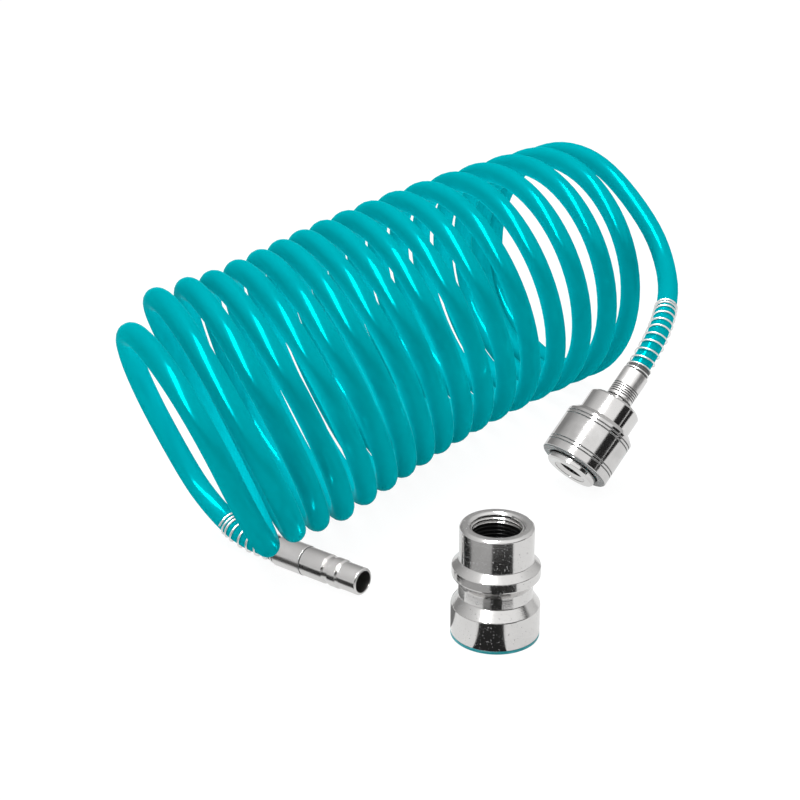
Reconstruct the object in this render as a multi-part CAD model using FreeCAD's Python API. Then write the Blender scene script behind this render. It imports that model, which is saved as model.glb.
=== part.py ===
import FreeCAD, Part
import math
import os
from FreeCAD import Placement, Rotation, Vector

# Coiled air hose with a plug at one end, a quick coupler at the other and a
# loose thread adapter. Millimetres, +Z up, the hose lies on the plane z = 0
# and its coil runs along +X.

# Hose
hose_diameter = 8.0
hose_bore = 5.0
flat_depth = 0.5
floor_reach = 1000.0

# Coil
turns_first = -0.05
turns_last = 17.35
turns_full = 18.0
pitch_controls = (15.7, 19.0, 6.2, 11.4, 25.4, 5.25)
turn_radius = (46.4, 47.1)
ring_yaw = (-30.0, -30.2, -30.8, -25.0, -12.3)
ring_lean = (15.8, 22.9, 22.6, 10.9, -4.9)
sideways_bow = (0.0, -4.0, 25.2, 4.2, 0.0)

# How far the loose turns at the plug's end have shifted, grown and turned
loose_turns = 3.4
loose_shift_x = (8.1, 3.3, 4.5, 5.9)
loose_shift_y = (3.6, 2.8, 9.2, -1.9)
loose_shift_z = (5.4, 0.9, -5.8, 3.6)
loose_radius = (-3.0, 2.2, 1.1, -6.1)
loose_yaw = (-0.7, -6.9, 5.4, 0.8)
loose_lean = (4.2, -1.4, -1.1, 6.1)

# Where two turns ride over the plug: turn, half the turns it takes, shift
ride_overs = [
    (0.84, 0.35, (-6.0, -15.9, 13.7)),
    (1.67, 0.28, (-11.2, -13.2, 9.9)),
]

# Hose nuts and spring guards
nut_diameter = 10.6
nut_length = 12.2
nut_ring_count = 5
nut_ring_pitch = 0.9
nut_ring_width = 0.35
nut_ring_depth = 0.25
spigot_length = 3.0
neck_diameter = 8.8
neck_length = 3.0
barb_length = 9.0
barb_count = 3
barb_valley_depth = 0.35
stem_bore = 3.4
guard_wire = 0.8
plug_guard_turns = 10.5
coupler_guard_turns = 12.0
guard_close_pitch = 1.6
guard_open_pitch = 3.8
guard_close_turns = 2.0
guard_nut_turns = 1.0
guard_hose_radius = 4.6

# Plug pin
pin_diameter = 10.2
pin_length = 24.0
pin_bore = 7.7
pin_bore_depth = 18.0
nose_diameter = 9.5
nose_length = 7.4
front_groove_width = 1.2
collar_width = 3.2
ball_groove_width = 2.8
ball_groove_diameter = 8.9
plug_axis_x = 27.0
plug_tip_y = -59.4

# Coupler
socket_diameter = 10.5
mouth_diameter = 13.0
mouth_depth = 1.25
front_body_diameter = 16.0
front_body_length = 23.0
front_ring_diameter = 20.0
front_ring_length = 2.4
ball_diameter = 4.0
ball_count = 4
ball_plane = 8.6
ball_protrusion = 0.7
ball_travel = 0.8
ball_relief_depth = 0.35
ball_relief_width = 4.4
stop_ring_width = 1.0
stop_ring_rise = 0.4
stop_ring_sink = 0.7
stop_ring_front = 11.4
sleeve_diameter = 27.6
sleeve_front = 2.8
sleeve_length = 20.0
sleeve_travel = 3.0
sleeve_land = 1.4
sleeve_chamfer = 0.5
sleeve_shoulder = 1.8
sleeve_groove_width = 0.5
sleeve_groove_depth = 0.35
sleeve_groove_pitch = 1.3
sleeve_groove_inset = 3.4
sleeve_spring_wire = 1.1
sleeve_spring_turns = 3.4
rear_body_diameter = 21.2
rear_body_front = 21.0
rear_body_length = 11.1
rear_body_chamfer = 1.0
seal_front = 15.2
seal_thickness = 2.6
seal_diameter = 13.5
seal_bore = 9.3
chamber_diameter = 12.0
chamber_end = 28.6
spigot_wall = 0.7
body_seal_thickness = 0.8
poppet_thickness = 1.2
poppet_hub_diameter = 7.2
poppet_hub_length = 1.2
poppet_notch_radius = 1.3
valve_travel = 4.0
valve_spring_wire = 0.8
valve_spring_turns = 5.0
nut_gap = 1.9
coupler_mouth_x = 137.0
coupler_mouth_y = -70.15
coupler_tilt = 41.5
coupler_yaw = -11.37

# Loose adapter
adapter_x = 34.6
adapter_y = -107.6
adapter_height = 38.6
adapter_base_diameter = 28.6
adapter_base_height = 11.0
adapter_neck_diameter = 23.8
adapter_neck_bottom = 14.5
adapter_neck_top = 18.5
adapter_collar_bottom = 21.6
adapter_collar_top = 24.7
adapter_collar_diameter = 28.4
adapter_barrel_bottom = 26.9
adapter_edge = 0.8
adapter_thread_diameter = 16.66
adapter_thread_length = 15.0
adapter_mouth_chamfer = 0.8
adapter_bore = 15.0
adapter_seal_thickness = 1.0

# Clearances, measured on the radius
slide_gap = 0.05
hose_gap = 0.1
seat_gap = 0.05

# Route points of the two hose tails. The first and last ones are worked out.
plug_tail_points = [
    (29.2, 15.4, 14.9),
    (28.3, 5.2, 9.0),
    (27.3, -5.6, 5.3),
    (27.0, -19.0, 5.3),
]
plug_tail_first_run = 6.1
coupler_tail_points = [
    (226.4, -57.2, 62.7),
    (206.0, -70.3, 57.4),
]
coupler_tail_first_run = 16.1
coupler_tail_last_run = 22.8

hose_radius = hose_diameter / 2
lowest_axis = hose_radius - flat_depth
Z_AXIS = Vector(0, 0, 1)


def bernstein(values, w):
    degree = len(values) - 1
    total = 0.0
    for i, value in enumerate(values):
        total += value * math.comb(degree, i) * w**i * (1 - w) ** (degree - i)
    return total


def coil_point(turn):
    """Axis of the hose after so many turns: leaning rings on a line along X."""
    w = turn / turns_full
    share = turns_full / len(pitch_controls)
    advance = [0.0]
    for pitch in pitch_controls:
        advance.append(advance[-1] + pitch * share)
    loose = max(0.0, (loose_turns - turn) / (loose_turns - turns_first))
    shift = [bernstein((0, 0) + s, loose) for s in (loose_shift_x, loose_shift_y, loose_shift_z)]
    radius = bernstein(turn_radius, w) + bernstein((0, 0) + loose_radius, loose)
    yaw = math.radians(bernstein(ring_yaw, w) + bernstein((0, 0) + loose_yaw, loose))
    lean = math.radians(bernstein(ring_lean, w) + bernstein((0, 0) + loose_lean, loose))
    across = radius * math.cos(2 * math.pi * turn)
    up = radius * math.sin(2 * math.pi * turn)
    x = bernstein(advance, w) - math.sin(yaw) * across - math.sin(lean) * math.cos(yaw) * up
    y = bernstein(sideways_bow, w) + math.cos(yaw) * across - math.sin(lean) * math.sin(yaw) * up
    z = lowest_axis + math.cos(lean) * (radius + up)
    point = Vector(x, y, z) + Vector(*shift)
    for middle, reach, lift in ride_overs:
        away = min(1.0, abs(turn - middle) / reach)
        point += Vector(*lift) * (1 - away**2) ** 2
    return point


def tangent_of(curve, t, step=1e-4):
    return (curve(t + step) - curve(t - step)).normalize()


def arc_edge(start, corner, end):
    """Arc that leaves start towards corner and reaches end from it."""
    chord = end - start
    cosine = chord.Length / 2 / (corner - start).Length
    if cosine > 1 - 1e-9:
        return Part.LineSegment(start, end).toShape()
    middle = (start + corner * (2 * cosine) + end) * (1 / (2 + 2 * cosine))
    return Part.Arc(start, middle, end).toShape()


def biarc(start, start_dir, end, end_dir):
    """Two tangent arcs from start to end."""
    span = end - start
    turn = 1 - start_dir.dot(end_dir)
    along = span.dot(start_dir + end_dir)
    root = math.sqrt(along * along + 2 * turn * span.dot(span))
    reach = span.dot(span) / (along + root)
    first = start + start_dir * reach
    last = end - end_dir * reach
    joint = (first + last) * 0.5
    return [arc_edge(start, first, joint), arc_edge(joint, last, end)]


def wound_edges(curve, t_start, t_end, step, straight):
    """Biarcs along a curve, with a straight run at each end."""
    count = max(1, round(abs(t_end - t_start) / step))
    stops = [t_start + (t_end - t_start) * i / count for i in range(count + 1)]
    sign = 1 if t_end > t_start else -1
    points = [curve(t) for t in stops]
    directions = [tangent_of(curve, t) * sign for t in stops]
    entry = points[0] - directions[0] * straight
    leave = points[-1] + directions[-1] * straight
    edges = [Part.LineSegment(entry, points[0]).toShape()]
    for i in range(count):
        edges += biarc(points[i], directions[i], points[i + 1], directions[i + 1])
    edges.append(Part.LineSegment(points[-1], leave).toShape())
    return edges


def sample_edges(edges, spacing):
    """Points along a chain of edges, each with its distance from the start."""
    samples = []
    travelled = 0.0
    for edge in edges:
        count = max(2, int(edge.Length / spacing) + 1)
        ends = [edge.valueAt(edge.FirstParameter), edge.valueAt(edge.LastParameter)]
        points = edge.discretize(count)
        if samples and (points[0] - samples[-1][1]).Length > (points[-1] - samples[-1][1]).Length:
            points.reverse()
        if not samples and len(edges) > 1:
            following = edges[1].valueAt(edges[1].FirstParameter)
            closing = edges[1].valueAt(edges[1].LastParameter)
            near_last = min((ends[1] - following).Length, (ends[1] - closing).Length)
            near_first = min((ends[0] - following).Length, (ends[0] - closing).Length)
            if near_first < near_last:
                points.reverse()
        for i, point in enumerate(points):
            if samples and i == 0:
                continue
            samples.append((travelled + edge.Length * i / (len(points) - 1), point))
        travelled += edge.Length
    return samples


def least_gap(edges, diameter, spacing):
    """Least gap of a wound tube to itself, measured on points of its axis."""
    samples = sample_edges(edges, spacing)
    skip = math.pi * diameter
    best = 1e9
    for i, (distance_a, a) in enumerate(samples):
        for distance_b, b in samples[i + 1 :]:
            if distance_b - distance_a < skip:
                continue
            near = abs(a.x - b.x) < best and abs(a.y - b.y) < best and abs(a.z - b.z) < best
            if near:
                best = min(best, (a - b).Length)
    return best - diameter


def sweep(edges, radius):
    """Round tube along tangent edges."""
    path = Part.Wire(edges)
    first = edges[0]
    start = first.valueAt(first.FirstParameter)
    direction = first.tangentAt(first.FirstParameter)
    profile = Part.Wire([Part.makeCircle(radius, start, direction)])
    return path.makePipeShell([profile], True, False)


def hose_along(edges):
    return sweep(edges, hose_radius).cut(sweep(edges, hose_bore / 2))


def route_edges(points, name):
    """Straight runs joined by tangent arcs, each as large as its runs allow."""
    edges = []
    radii = []
    cursor = points[0]
    for before, corner, after in zip(points, points[1:], points[2:]):
        into = corner - before
        out = after - corner
        shorter = min(into.Length, out.Length)
        half_turn = into.getAngle(out) / 2
        radii.append(0.45 * shorter / math.tan(half_turn))
        start = corner - into.normalize() * (0.45 * shorter)
        end = corner + out.normalize() * (0.45 * shorter)
        edges.append(Part.LineSegment(cursor, start).toShape())
        edges.append(arc_edge(start, corner, end))
        cursor = end
    edges.append(Part.LineSegment(cursor, points[-1]).toShape())
    print(name, "radii", [round(r, 1) for r in radii])
    return edges


def revolve(profile):
    """Solid of revolution about Z from (radius, height) points."""
    points = [Vector(r, 0, z) for r, z in profile]
    face = Part.Face(Part.makePolygon(points + [points[0]]))
    return face.revolve(Vector(0, 0, 0), Z_AXIS, 360)


def ring(inner, outer, bottom, top):
    return revolve([(inner, bottom), (outer, bottom), (outer, top), (inner, top)])


def spring(radius, wire, turns, bottom, top, name):
    """Helical spring about Z between two seats."""
    low = bottom + wire / 2 + seat_gap
    high = top - wire / 2 - seat_gap

    def helix(turn):
        angle = 2 * math.pi * turn
        height = low + (high - low) * turn / turns
        return Vector(radius * math.cos(angle), radius * math.sin(angle), height)

    edges = wound_edges(helix, 0.0, turns, 0.5, wire)
    print(name, "gap", round(least_gap(edges, wire, 0.4), 2))
    return sweep(edges, wire / 2)


class Route:
    """Arc length along a chain of lines and arcs, with a steady side vector."""

    def __init__(self, edges):
        self.samples = sample_edges(edges, 0.25)
        self.length = self.samples[-1][0]

    def point(self, distance):
        samples = self.samples
        low = 0
        high = len(samples) - 1
        while high - low > 1:
            middle = (low + high) // 2
            if samples[middle][0] > distance:
                high = middle
            else:
                low = middle
        a_distance, a = samples[low]
        b_distance, b = samples[high]
        share = (distance - a_distance) / (b_distance - a_distance)
        return a + (b - a) * share

    def direction(self, distance):
        return (self.point(distance + 0.6) - self.point(distance - 0.6)).normalize()


def ramp(x):
    """Integral of a smooth step from 0 to 1."""
    if x <= 0:
        return 0.0
    if x >= 1:
        return x - 0.5
    return x**3 - x**4 / 2


def spring_guard(route, seat, turns, name):
    """Wire guard wound round the hose, from the nut's seat back along the hose."""
    nut_radius = neck_spigot_radius() + slide_gap + guard_wire / 2
    open_start = guard_nut_turns
    open_end = turns - guard_close_turns - 1

    def distance_at(turn):
        opened = ramp(turn - open_start) - ramp(turn - open_end)
        return guard_close_pitch * turn + (guard_open_pitch - guard_close_pitch) * opened

    start = seat - guard_wire / 2 - slide_gap

    def winding(turn):
        distance = start - distance_at(turn)
        along = route.direction(distance)
        side = Z_AXIS.cross(along).normalize()
        over = along.cross(side)
        angle = 2 * math.pi * turn
        radius = nut_radius + (guard_hose_radius - nut_radius) * min(1, max(0, turn / turns))
        return route.point(distance) + (side * math.cos(angle) + over * math.sin(angle)) * radius

    edges = wound_edges(winding, 0.0, turns, 0.25, guard_wire)
    gap = least_gap(edges, guard_wire, 0.4)
    print(name, "gap", round(gap, 2), "length", round(distance_at(turns), 1))
    return sweep(edges, guard_wire / 2)


def neck_spigot_radius():
    return hose_radius + hose_gap + 0.35


def hose_nut(front, neck_end, rings):
    """Nut over the neck and the hose end, with a thin spigot for the guard."""
    rear = front + nut_length
    end = rear + spigot_length
    outer = nut_diameter / 2
    profile = [(neck_diameter / 2 + slide_gap, front), (outer - 0.4, front)]
    profile.append((outer, front + 0.4))
    if rings:
        for i in range(nut_ring_count):
            groove = front + 1.4 + i * nut_ring_pitch
            profile.append((outer, groove))
            profile.append((outer - nut_ring_depth, groove))
            profile.append((outer - nut_ring_depth, groove + nut_ring_width))
            profile.append((outer, groove + nut_ring_width))
    profile.append((outer, rear))
    profile.append((neck_spigot_radius(), rear))
    profile.append((neck_spigot_radius(), end))
    profile.append((hose_radius + hose_gap, end))
    profile.append((hose_radius + hose_gap, neck_end))
    profile.append((neck_diameter / 2 + slide_gap, neck_end))
    return revolve(profile)


def barb(neck_end):
    """Outline of the barbed stem, from the neck's end face to its tip."""
    crest = hose_bore / 2 - 0.02
    step = (barb_length - 1.0) / barb_count
    points = []
    for i in range(barb_count):
        root = neck_end + i * step
        points.append((crest - barb_valley_depth, root))
        points.append((crest - barb_valley_depth, root + step * 0.3))
        points.append((crest, root + step * 0.35))
        points.append((crest, root + step * 0.6))
    points.append((crest - barb_valley_depth, neck_end + barb_length))
    return points


def plug_pin():
    radius = pin_diameter / 2
    nose = nose_diameter / 2
    groove = ball_groove_diameter / 2
    collar_start = nose_length + front_groove_width
    collar_end = collar_start + collar_width
    groove_end = collar_end + ball_groove_width
    neck_end = pin_length + neck_length
    profile = [(pin_bore / 2, 0), (nose - 0.35, 0), (nose, 0.35), (nose, nose_length)]
    profile += [(groove, nose_length), (groove, collar_start - 0.5), (radius, collar_start)]
    profile += [(radius, collar_end), (groove, collar_end), (groove, groove_end - 0.5)]
    profile += [(radius, groove_end), (radius, pin_length)]
    profile += [(neck_diameter / 2, pin_length), (neck_diameter / 2, neck_end)]
    profile += barb(neck_end)
    profile += [(stem_bore / 2, neck_end + barb_length), (stem_bore / 2, pin_bore_depth + 1.2)]
    profile.append((pin_bore / 2, pin_bore_depth))
    return revolve(profile)


# Radial place of a locking ball, pressed in
ball_radius = ball_diameter / 2
ball_centre = socket_diameter / 2 - ball_protrusion + ball_radius
cone_slope = ball_travel / sleeve_travel
cone_at_ball = ball_centre + (ball_radius + 0.04) * math.sqrt(1 + cone_slope**2)
body_radius = front_body_diameter / 2
seal_back = seal_front + seal_thickness
front_body_pocket = seal_diameter / 2 + slide_gap
rear_body_radius = rear_body_diameter / 2
rear_body_back = rear_body_front + rear_body_length
sleeve_back = sleeve_front + sleeve_length
stop_ring_back = stop_ring_front + stop_ring_width
land_back = stop_ring_back + sleeve_land
coupler_neck_end = rear_body_back + nut_gap + neck_length
ball_angles = [360 * (i + 0.5) / ball_count for i in range(ball_count)]


def ball_position(angle, out=0.0):
    reach = ball_centre + out
    turn = math.radians(angle)
    return Vector(reach * math.cos(turn), reach * math.sin(turn), ball_plane)


def front_body():
    mouth = mouth_diameter / 2
    socket = socket_diameter / 2
    groove = body_radius - stop_ring_sink
    profile = [(mouth, 0.3), (body_radius, 0.3), (body_radius, stop_ring_front)]
    profile += [(groove, stop_ring_front), (groove, stop_ring_back)]
    profile += [(body_radius, stop_ring_back), (body_radius, front_body_length)]
    profile += [(front_body_pocket, front_body_length), (front_body_pocket, seal_front)]
    relief = socket + ball_relief_depth
    relief_front = ball_plane - ball_relief_width / 2
    relief_back = ball_plane + ball_relief_width / 2
    profile += [(socket, seal_front), (socket, relief_back), (relief, relief_back)]
    profile += [(relief, relief_front), (socket, relief_front), (socket, 0.3 + mouth_depth)]
    body = revolve(profile)
    for angle in ball_angles:
        turn = math.radians(angle)
        outward = Vector(math.cos(turn), math.sin(turn), 0)
        centre = ball_position(angle)
        pocket = Part.makeSphere(ball_radius + slide_gap, centre)
        hole = Part.makeCylinder(ball_radius + slide_gap, body_radius, centre, outward)
        body = body.cut(pocket.fuse(hole))
    return body


def release_sleeve():
    outer = sleeve_diameter / 2
    relief = cone_at_ball + cone_slope * (sleeve_travel + 0.9)
    relief_end = ball_plane - sleeve_travel - 0.9
    narrow = cone_at_ball - cone_slope * 0.9
    narrow_start = ball_plane + 0.9
    land = body_radius + slide_gap
    rear_bore = rear_body_radius + slide_gap
    profile = [(relief, sleeve_front), (outer - sleeve_chamfer, sleeve_front)]
    profile.append((outer, sleeve_front + sleeve_chamfer))
    grooves = []
    for i in range(2):
        grooves.append(sleeve_front + sleeve_groove_inset + i * sleeve_groove_pitch)
    for i in range(2):
        grooves.append(sleeve_back - sleeve_groove_inset - (1 - i) * sleeve_groove_pitch)
    for groove in grooves:
        profile.append((outer, groove))
        profile.append((outer - sleeve_groove_depth, groove))
        profile.append((outer - sleeve_groove_depth, groove + sleeve_groove_width))
        profile.append((outer, groove + sleeve_groove_width))
    profile.append((outer, sleeve_back - sleeve_shoulder))
    profile.append((outer - sleeve_shoulder, sleeve_back))
    profile.append((rear_bore, sleeve_back))
    profile.append((rear_bore, land_back))
    profile.append((land, land_back))
    profile.append((land, stop_ring_back))
    profile.append((narrow, stop_ring_back))
    profile.append((narrow, narrow_start))
    profile.append((relief, relief_end))
    return revolve(profile)


def rear_body():
    neck = neck_diameter / 2
    chamber = chamber_diameter / 2
    spigot = chamber + spigot_wall
    pocket_end = front_body_length + body_seal_thickness
    profile = [(chamber, seal_back), (spigot, seal_back), (spigot, pocket_end)]
    profile += [(body_radius + slide_gap, pocket_end), (body_radius + slide_gap, rear_body_front)]
    profile += [(rear_body_radius, rear_body_front)]
    profile += [(rear_body_radius, rear_body_back - rear_body_chamfer)]
    profile += [(rear_body_radius - rear_body_chamfer, rear_body_back)]
    profile += [(neck, rear_body_back), (neck, coupler_neck_end)]
    profile += barb(coupler_neck_end)
    profile += [(stem_bore / 2, coupler_neck_end + barb_length), (stem_bore / 2, chamber_end)]
    profile.append((chamber, chamber_end))
    return revolve(profile)


def valve_poppet():
    head = chamber_diameter / 2 - slide_gap
    top = seal_back + poppet_thickness
    hub = poppet_hub_diameter / 2
    body = revolve([(0, seal_back), (head, seal_back), (head, top), (hub, top), (hub, top + poppet_hub_length),
                    (0, top + poppet_hub_length)])
    for i in range(4):
        turn = math.radians(90 * i)
        centre = Vector(head * math.cos(turn), head * math.sin(turn), seal_back - 1)
        body = body.cut(Part.makeCylinder(poppet_notch_radius, poppet_thickness + 2, centre))
    return body


def adapter_body():
    base = adapter_base_diameter / 2
    neck = adapter_neck_diameter / 2
    collar = adapter_collar_diameter / 2
    thread = adapter_thread_diameter / 2
    bore = adapter_bore / 2
    top = adapter_height
    bottom = adapter_seal_thickness
    profile = [(bore, bottom), (base, bottom), (base, adapter_base_height)]
    profile += [(neck, adapter_neck_bottom), (neck, adapter_neck_top)]
    profile += [(collar, adapter_collar_bottom), (collar, adapter_collar_top)]
    profile += [(neck, adapter_barrel_bottom), (neck, top - adapter_edge)]
    profile += [(neck - adapter_edge, top), (thread + adapter_mouth_chamfer, top)]
    profile += [(thread, top - adapter_mouth_chamfer), (thread, top - adapter_thread_length)]
    profile.append((bore, top - adapter_thread_length))
    return revolve(profile)


parts = {}

# Coil, cut flat where it rests
coil_edges = wound_edges(coil_point, turns_first, turns_last, 0.25, hose_diameter)
coil_gap = least_gap(coil_edges, hose_diameter, 4.0)
print("hose_coil gap", round(coil_gap, 2), "length", round(sum(e.Length for e in coil_edges), 1))
coil = hose_along(coil_edges)
floor_corner = Vector(-floor_reach, -floor_reach, -hose_diameter)
floor_box = Part.makeBox(2 * floor_reach, 2 * floor_reach, hose_diameter, floor_corner)
parts["hose_coil"] = coil.cut(floor_box)

# Frames of the plug and the coupler: Z runs from the mouth towards the hose
nut_half = nut_diameter / 2
plug_frame = Placement(Vector(plug_axis_x, plug_tip_y, nut_half), Rotation(Z_AXIS, Vector(0, 1, 0)))
tilt = math.radians(coupler_tilt)
heading = math.radians(coupler_yaw)
rearward = Vector(math.cos(tilt) * math.cos(heading), math.cos(tilt) * math.sin(heading), math.sin(tilt))
mouth_height = sleeve_diameter / 2 * math.cos(tilt) - (sleeve_front + sleeve_chamfer) * math.sin(tilt)
mouth = Vector(coupler_mouth_x, coupler_mouth_y, mouth_height)
coupler_frame = Placement(mouth, Rotation(Z_AXIS, rearward))

# Hose tails
plug_neck_end = pin_length + neck_length
coil_start = coil_point(turns_first)
coil_start_dir = tangent_of(coil_point, turns_first) * -1
coil_end = coil_point(turns_last)
coil_end_dir = tangent_of(coil_point, turns_last)

plug_tail_start = coil_start + coil_start_dir * hose_diameter
plug_route = [plug_tail_start, plug_tail_start + coil_start_dir * plug_tail_first_run]
plug_route += [Vector(*p) for p in plug_tail_points]
plug_route.append(plug_frame.multVec(Vector(0, 0, plug_neck_end)))
plug_tail_edges = route_edges(plug_route, "hose_tail_plug")
parts["hose_tail_plug"] = hose_along(plug_tail_edges)

coupler_tail_start = coil_end + coil_end_dir * hose_diameter
coupler_route = [coupler_tail_start, coupler_tail_start + coil_end_dir * coupler_tail_first_run]
coupler_route += [Vector(*p) for p in coupler_tail_points]
coupler_route.append(coupler_frame.multVec(Vector(0, 0, coupler_neck_end + coupler_tail_last_run)))
coupler_route.append(coupler_frame.multVec(Vector(0, 0, coupler_neck_end)))
coupler_tail_edges = route_edges(coupler_route, "hose_tail_coupler")
parts["hose_tail_coupler"] = hose_along(coupler_tail_edges)

section = math.pi * (hose_radius**2 - hose_bore**2 / 4)
for name, edges in (("hose_coil", coil_edges), ("hose_tail_plug", plug_tail_edges),
                    ("hose_tail_coupler", coupler_tail_edges)):
    length = sum(edge.Length for edge in edges)
    print(name, "length", round(length, 1), "volume over section", round(parts[name].Volume / section, 1))

# Plug end
parts["plug_pin"] = plug_pin()
parts["plug_hose_nut"] = hose_nut(pin_length, plug_neck_end, False)
for name in ("plug_pin", "plug_hose_nut"):
    parts[name].Placement = plug_frame.multiply(parts[name].Placement)
plug_path = Route(plug_tail_edges)
plug_seat = plug_path.length + plug_neck_end - (pin_length + nut_length)
parts["plug_spring_guard"] = spring_guard(plug_path, plug_seat, plug_guard_turns, "plug_spring_guard")

# Coupler end, built along Z from its mouth
coupler = {}
coupler["coupler_front_body"] = front_body()
front_ring_outer = front_ring_diameter / 2
coupler["coupler_front_ring"] = revolve([
    (body_radius, 0.3), (mouth_diameter / 2, 0.3), (mouth_diameter / 2, 0), (front_ring_outer - 0.6, 0),
    (front_ring_outer, 0.6), (front_ring_outer, front_ring_length), (body_radius, front_ring_length)])
coupler["sleeve_stop_ring"] = ring(body_radius - stop_ring_sink, body_radius + stop_ring_rise, stop_ring_front,
                                   stop_ring_back)
coupler["release_sleeve"] = release_sleeve()
sleeve_spring_radius = (body_radius + rear_body_radius) / 2
coupler["sleeve_spring"] = spring(sleeve_spring_radius, sleeve_spring_wire, sleeve_spring_turns, land_back,
                                  rear_body_front, "sleeve_spring")
coupler["valve_seat_seal"] = ring(seal_bore / 2, seal_diameter / 2, seal_front, seal_back)
coupler["coupler_body_seal"] = ring(chamber_diameter / 2 + spigot_wall + slide_gap, body_radius,
                                    front_body_length, front_body_length + body_seal_thickness)
coupler["coupler_rear_body"] = rear_body()
coupler["valve_poppet"] = valve_poppet()
valve_spring_radius = poppet_hub_diameter / 2 + slide_gap * 4 + valve_spring_wire / 2
coupler["valve_spring"] = spring(valve_spring_radius, valve_spring_wire, valve_spring_turns,
                                 seal_back + poppet_thickness, chamber_end, "valve_spring")
for i, angle in enumerate(ball_angles):
    coupler["locking_ball_%d" % (i + 1)] = Part.makeSphere(ball_radius, ball_position(angle))
coupler["coupler_hose_nut"] = hose_nut(rear_body_back + nut_gap, coupler_neck_end, True)
for name, shape in coupler.items():
    shape.Placement = coupler_frame.multiply(shape.Placement)
    parts[name] = shape
coupler_path = Route(coupler_tail_edges)
coupler_seat = coupler_path.length + coupler_neck_end - (rear_body_back + nut_gap + nut_length)
coupler_guard = spring_guard(coupler_path, coupler_seat, coupler_guard_turns, "coupler_spring_guard")
parts["coupler_spring_guard"] = coupler_guard

# Loose adapter on its seal ring
adapter_frame = Placement(Vector(adapter_x, adapter_y, 0), Rotation())
parts["adapter_body"] = adapter_body()
parts["adapter_base_seal"] = ring(adapter_bore / 2, adapter_base_diameter / 2, 0, adapter_seal_thickness)
for name in ("adapter_body", "adapter_base_seal"):
    parts[name].Placement = adapter_frame

# The origin goes below the middle of the whole part
box = FreeCAD.BoundBox()
for shape in parts.values():
    box.add(shape.optimalBoundingBox(False, False))
origin = Vector((box.XMin + box.XMax) / 2, (box.YMin + box.YMax) / 2, 0)
print("origin", [round(v, 4) for v in origin], "box", round(box.XLength, 2), round(box.YLength, 2))

os.makedirs("parts", exist_ok=True)
for name, shape in parts.items():
    moved = shape.translated(origin * -1)
    if len(moved.Solids) != 1 or not moved.isValid():
        print(name, "solids", len(moved.Solids), "valid", moved.isValid())
    moved.exportStep("parts/%s.step" % name)

for name, point in (("mouth", mouth), ("plug tip", plug_frame.Base), ("adapter", adapter_frame.Base)):
    print(name, [round(v, 4) for v in point - origin])
print("rearward", [round(v, 6) for v in rearward])
for i, angle in enumerate(ball_angles):
    place = coupler_frame.multVec(ball_position(angle)) - origin
    away = coupler_frame.Rotation.multVec(ball_position(angle) - Vector(0, 0, ball_plane)).normalize()
    print("ball", i + 1, [round(v, 4) for v in place], [round(v, 6) for v in away])
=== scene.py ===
import bpy
import math
from mathutils import Matrix, Vector
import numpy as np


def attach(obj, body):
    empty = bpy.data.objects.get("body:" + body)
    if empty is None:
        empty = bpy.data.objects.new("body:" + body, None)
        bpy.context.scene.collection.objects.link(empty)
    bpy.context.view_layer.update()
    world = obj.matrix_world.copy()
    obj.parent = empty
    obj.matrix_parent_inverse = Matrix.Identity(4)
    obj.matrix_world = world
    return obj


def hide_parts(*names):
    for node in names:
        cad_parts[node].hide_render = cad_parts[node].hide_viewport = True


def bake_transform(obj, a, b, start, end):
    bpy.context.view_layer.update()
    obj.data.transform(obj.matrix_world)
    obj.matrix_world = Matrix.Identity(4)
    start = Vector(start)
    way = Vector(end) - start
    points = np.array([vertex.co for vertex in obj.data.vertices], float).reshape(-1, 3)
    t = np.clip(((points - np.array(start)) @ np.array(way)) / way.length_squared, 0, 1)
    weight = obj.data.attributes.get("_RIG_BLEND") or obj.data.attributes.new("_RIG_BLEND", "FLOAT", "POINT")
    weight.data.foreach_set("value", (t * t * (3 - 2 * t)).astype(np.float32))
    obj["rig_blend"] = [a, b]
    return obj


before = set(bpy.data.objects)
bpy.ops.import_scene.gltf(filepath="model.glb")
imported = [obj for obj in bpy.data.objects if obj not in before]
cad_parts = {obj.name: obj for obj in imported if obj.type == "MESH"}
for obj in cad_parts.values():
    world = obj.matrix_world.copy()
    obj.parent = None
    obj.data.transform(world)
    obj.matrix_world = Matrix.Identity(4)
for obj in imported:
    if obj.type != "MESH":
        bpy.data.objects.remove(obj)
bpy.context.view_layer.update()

# The camera stands where the photograph was taken from: left of the plug's
# end, a little above the coil, with a long lens and no tilt to the side.
scene = bpy.context.scene
scene.view_settings.view_transform = "Standard"
camera_azimuth = math.radians(-52.18)
camera_drop = math.radians(22.61)
bpy.ops.object.camera_add(location=(-0.48372, -0.34494, 0.28073),
                          rotation=(math.radians(90) - camera_drop, 0, camera_azimuth))
camera = bpy.context.active_object
camera.name = "photo_camera"
camera.data.lens = 77.09
camera.data.sensor_width = 36
camera.data.clip_start = 0.01
scene.camera = camera


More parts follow.
